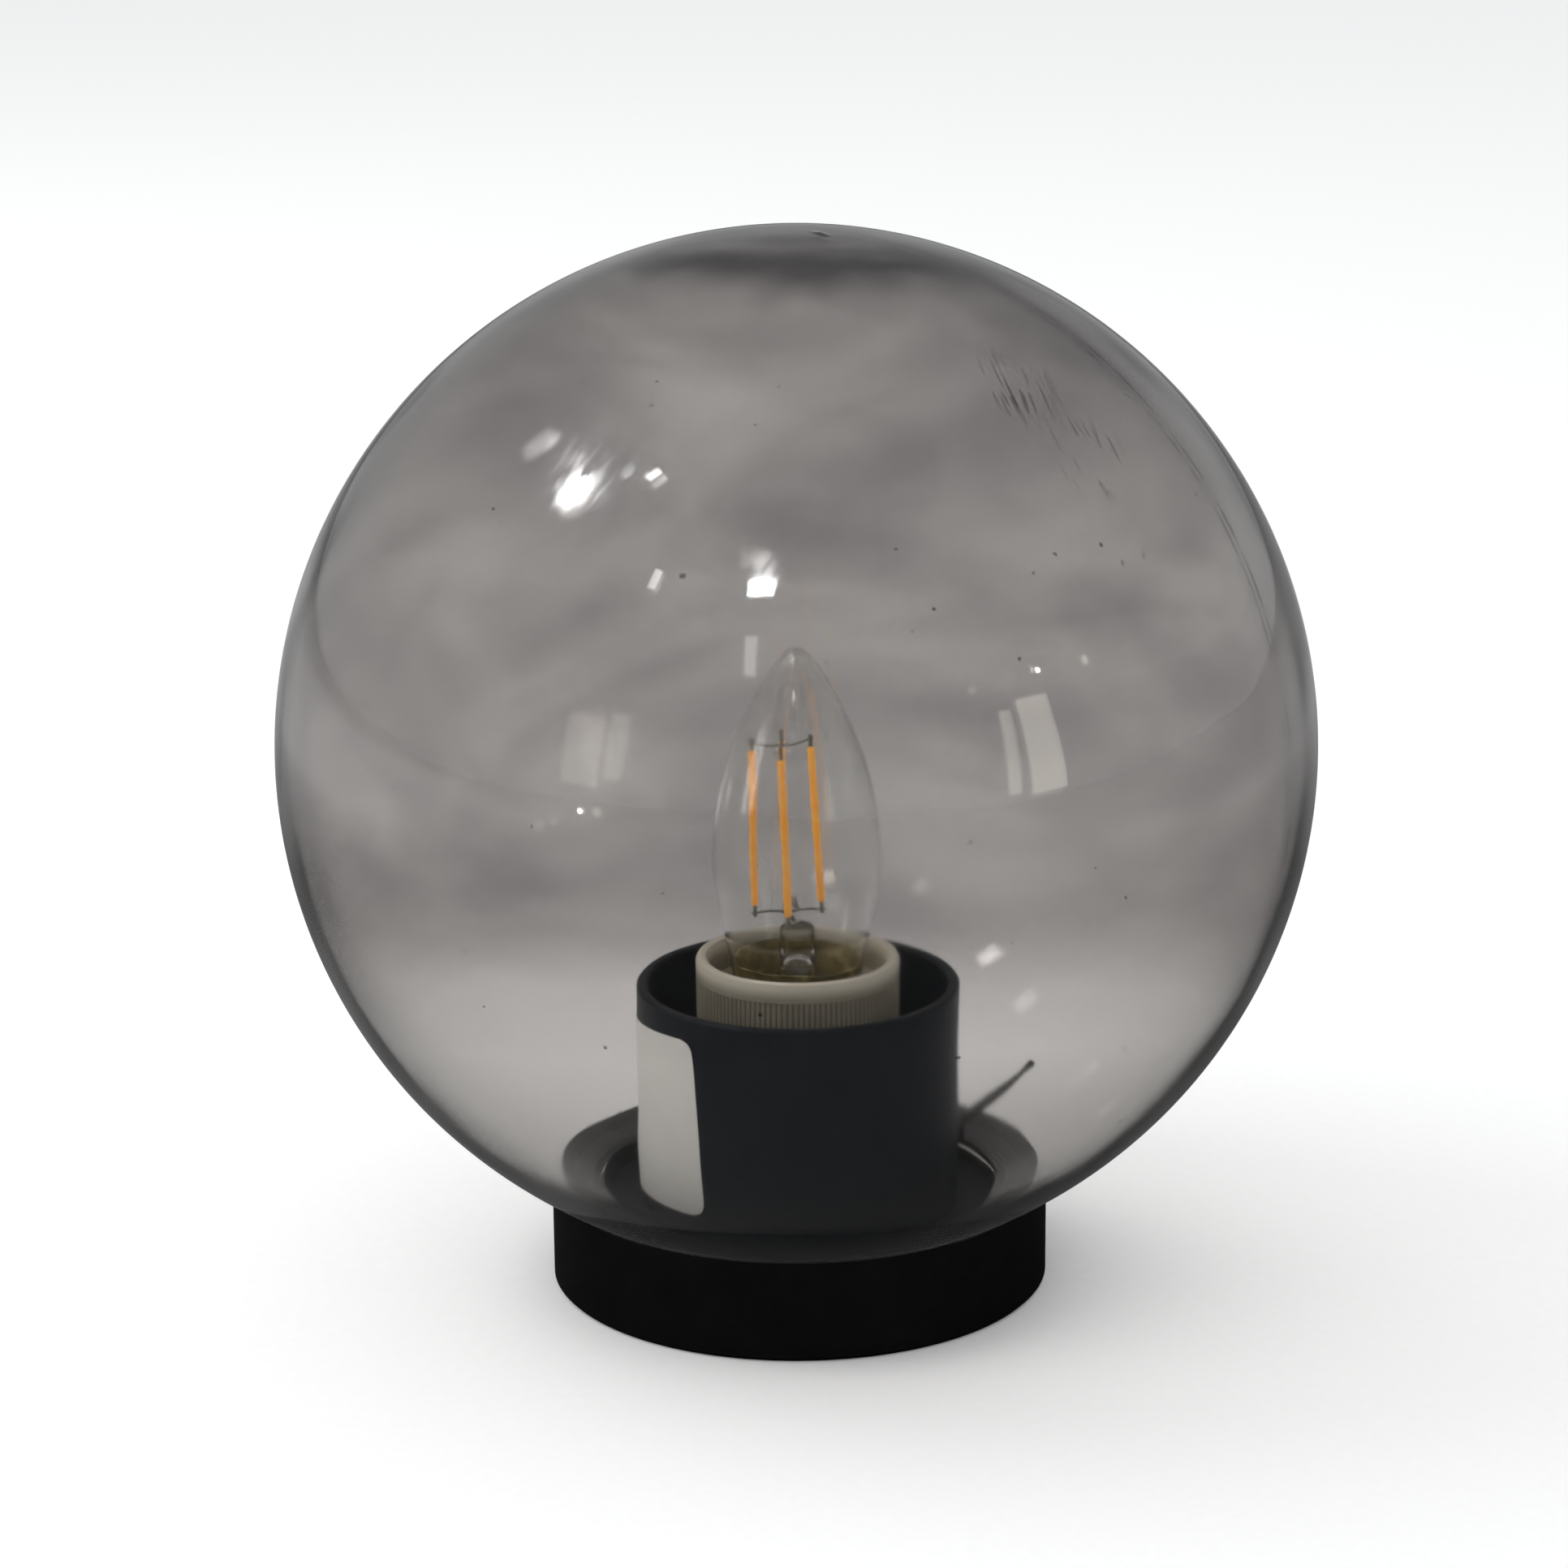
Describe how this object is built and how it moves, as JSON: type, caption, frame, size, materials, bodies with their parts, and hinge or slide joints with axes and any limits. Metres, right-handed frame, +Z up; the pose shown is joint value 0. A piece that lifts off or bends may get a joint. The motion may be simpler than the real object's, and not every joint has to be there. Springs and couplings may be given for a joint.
{
  "type": "globe light fixture",
  "caption": "Small outdoor globe light: smoked clear globe screwed into a short black base, with a tube, a ribbed porcelain lampholder and a candle bulb.",
  "frame": {"origin": "middle of the base's underside, on the surface it stands on", "axes": "+Z up along the common axis of base, globe and bulb; -Y towards the viewer of the picture"},
  "size_m": [0.2, 0.2, 0.2074],
  "materials": {
    "base_plastic": "black moulded plastic, fine satin",
    "tube_plastic": "charcoal grey moulded plastic, satin",
    "screw_steel": "bright zinc plate",
    "plated_steel": "bright zinc plate",
    "porcelain": "cream unglazed sides, thin glaze on the rim",
    "plated_shell": "nickel plated brass",
    "contact_bronze": "spring bronze",
    "terminal_brass": "machined brass",
    "lead_brown": "brown sleeved lead",
    "lead_blue": "blue sleeved lead",
    "tie_nylon": "black nylon",
    "connector_nylon": "natural nylon",
    "seal_rubber": "black soft rubber",
    "globe_acrylic": "lightly smoked clear acrylic, polished",
    "tip_metal": "tinned contact",
    "cap_insulation": "black glass",
    "bulb_glass": "clear glass",
    "filament_yellow": "yellow phosphor coat",
    "support_wire": "dull nickel wire",
    "cap_metal": "nickel plated cap",
    "driver_board": "green circuit board",
    "driver_parts": "black sleeves and cases"
  },
  "bodies": {
    "fixture": {"base_housing": "base_plastic", "lamp_tube": "tube_plastic", "tube_screws": "screw_steel", "lampholder_bracket": "plated_steel", "bracket_screws": "screw_steel", "lampholder_screws": "screw_steel", "lampholder_body": "porcelain", "lampholder_shell": "plated_shell", "centre_contact": "contact_bronze", "side_contact": "contact_bronze", "lampholder_terminals": "terminal_brass", "terminal_screws": "screw_steel", "lead_brown": "lead_brown", "lead_blue": "lead_blue", "tube_tie": "tie_nylon", "connector_block": "connector_nylon", "connector_inserts": "terminal_brass", "connector_screws": "screw_steel", "connector_fixing_screw": "screw_steel"},
    "globe_seal": {"globe_gasket": "seal_rubber"},
    "globe_shade": {"globe": "globe_acrylic"},
    "bulb_foot": {"bulb_tip_contact": "tip_metal", "bulb_cap_insulator": "cap_insulation"},
    "bulb": {"bulb_glass": "bulb_glass", "bulb_stem": "bulb_glass", "bulb_filaments": "filament_yellow", "bulb_support_wires": "support_wire", "bulb_cap": "cap_metal", "bulb_driver_board": "driver_board", "bulb_driver_parts": "driver_parts"}
  },
  "joints": [
    {"name": "globe_rise", "type": "slide", "parent": "fixture", "child": "globe_seal", "axis": [0, 0, 1], "range_m": [0, 0.00601]},
    {"name": "globe_turn", "type": "hinge", "parent": "globe_seal", "child": "globe_shade", "pos_m": [0, 0, 0.012], "axis": [0, 0, 1], "range_deg": [0, 360]},
    {"name": "bulb_rise", "type": "slide", "parent": "fixture", "child": "bulb_foot", "axis": [0, 0, 1], "range_m": [0, 0.01451]},
    {"name": "bulb_turn", "type": "hinge", "parent": "bulb_foot", "child": "bulb", "pos_m": [0, 0, 0.045], "axis": [0, 0, 1], "range_deg": [0, 1440]}
  ],
  "couplings": [
    {"joint": "globe_rise", "follows": "globe_turn", "m_per_rad": 0.00095493},
    {"joint": "bulb_turn", "follows": "bulb_rise", "rad_per_m": 1731.6}
  ]
}
